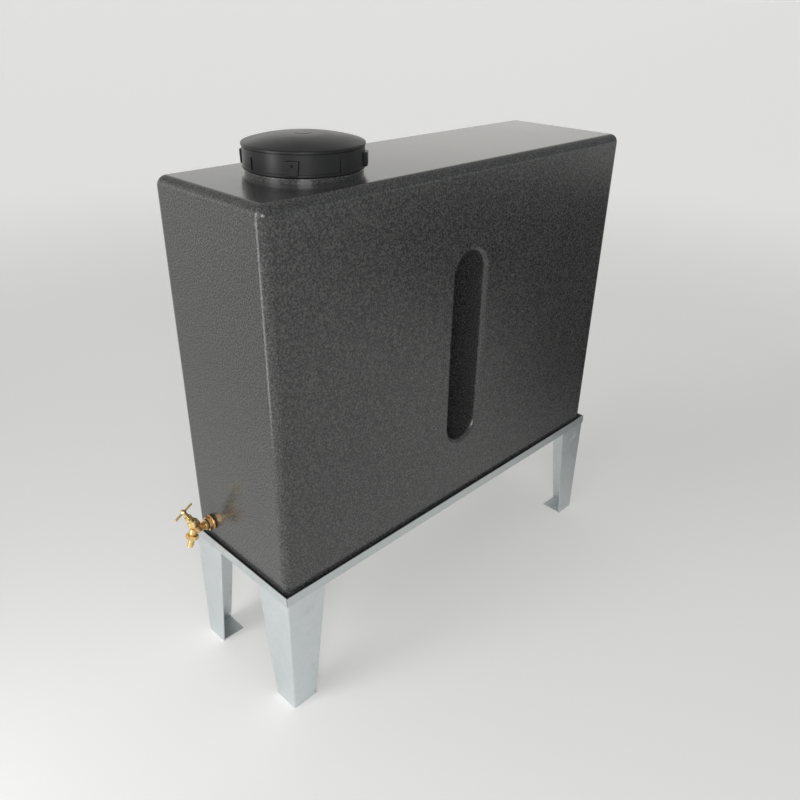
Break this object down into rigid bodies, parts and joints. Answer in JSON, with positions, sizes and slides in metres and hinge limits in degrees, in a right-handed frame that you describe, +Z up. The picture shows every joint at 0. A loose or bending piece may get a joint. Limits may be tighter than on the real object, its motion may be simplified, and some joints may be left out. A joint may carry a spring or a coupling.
{
  "type": "slimline water butt on a stand",
  "caption": "Slim rectangular rainwater tank with a tie slot and domed screw lid, on an angle-iron stand with folded sheet legs, with a brass hose tap.",
  "frame": {"origin": "middle of the whole object's footprint (tank, stand and tap) on the floor", "axes": "+X along the tank, away from the tap end; +Y from the front long face towards the back; +Z up"},
  "size_m": [1.2652, 0.368, 1.2725],
  "materials": {
    "granite_polyethylene": "rotomoulded, fine granite speckle, semi-gloss",
    "black_lid": "black moulded, satin",
    "galvanised_steel": "zinc galvanised, satin, faint spangle",
    "yellow_brass": "polished and as-cast brass",
    "red_brass": "coppery cast gunmetal",
    "black_rubber": "moulded rubber, matte",
    "fibre_washer": "red fibre, matte"
  },
  "bodies": {
    "tank_and_stand": {"tank_shell": "granite_polyethylene", "front_rail": "galvanised_steel", "back_rail": "galvanised_steel", "left_rail": "galvanised_steel", "right_rail": "galvanised_steel", "bearer_left": "galvanised_steel", "bearer_right": "galvanised_steel", "leg_front_left": "galvanised_steel", "leg_front_right": "galvanised_steel", "leg_back_left": "galvanised_steel", "leg_back_right": "galvanised_steel", "tank_connector": "red_brass", "outer_wall_washer": "black_rubber", "inner_wall_washer": "black_rubber", "back_nut": "red_brass", "tap_joint_washer": "black_rubber", "tap_body": "yellow_brass", "bonnet": "yellow_brass", "bonnet_washer": "fibre_washer", "gland_packing": "black_rubber", "gland_nut": "yellow_brass", "hose_union_washer": "black_rubber", "hose_tail": "yellow_brass"},
    "lid_lift_off": {"lid_seal": "black_rubber"},
    "lid": {"lid": "black_lid"},
    "valve": {"jumper_valve": "yellow_brass", "seat_washer": "black_rubber", "washer_nut": "yellow_brass"},
    "handle": {"spindle": "yellow_brass", "tee_hub": "yellow_brass", "tee_bar": "yellow_brass", "handle_grub_screw": "yellow_brass"},
    "hose_nut": {"hose_union_nut": "yellow_brass"}
  },
  "joints": [
    {"name": "lid_lift", "type": "slide", "parent": "tank_and_stand", "child": "lid_lift_off", "axis": [0, 0, 1], "range_m": [0, 0.25]},
    {"name": "lid_turn", "type": "hinge", "parent": "lid_lift_off", "child": "lid", "pos_m": [-0.29741, 0, 1.197], "axis": [0, 0, 1], "range_deg": [0, 450]},
    {"name": "valve_rise", "type": "slide", "parent": "tank_and_stand", "child": "valve", "axis": [-0.4258, 0, 0.9048], "range_m": [0, 0.0055]},
    {"name": "spindle_turn", "type": "hinge", "parent": "valve", "child": "handle", "pos_m": [-0.57791, 0.109, 0.395], "axis": [-0.4258, 0, 0.9048], "range_deg": [0, 900]},
    {"name": "hose_nut_turn", "type": "hinge", "parent": "tank_and_stand", "child": "hose_nut", "pos_m": [-0.58991, 0.109, 0.395], "axis": [-0.3289, 0, -0.9444], "continuous": true}
  ],
  "couplings": [
    {"joint": "valve_rise", "follows": "spindle_turn", "m_per_rad": 0.00035}
  ]
}
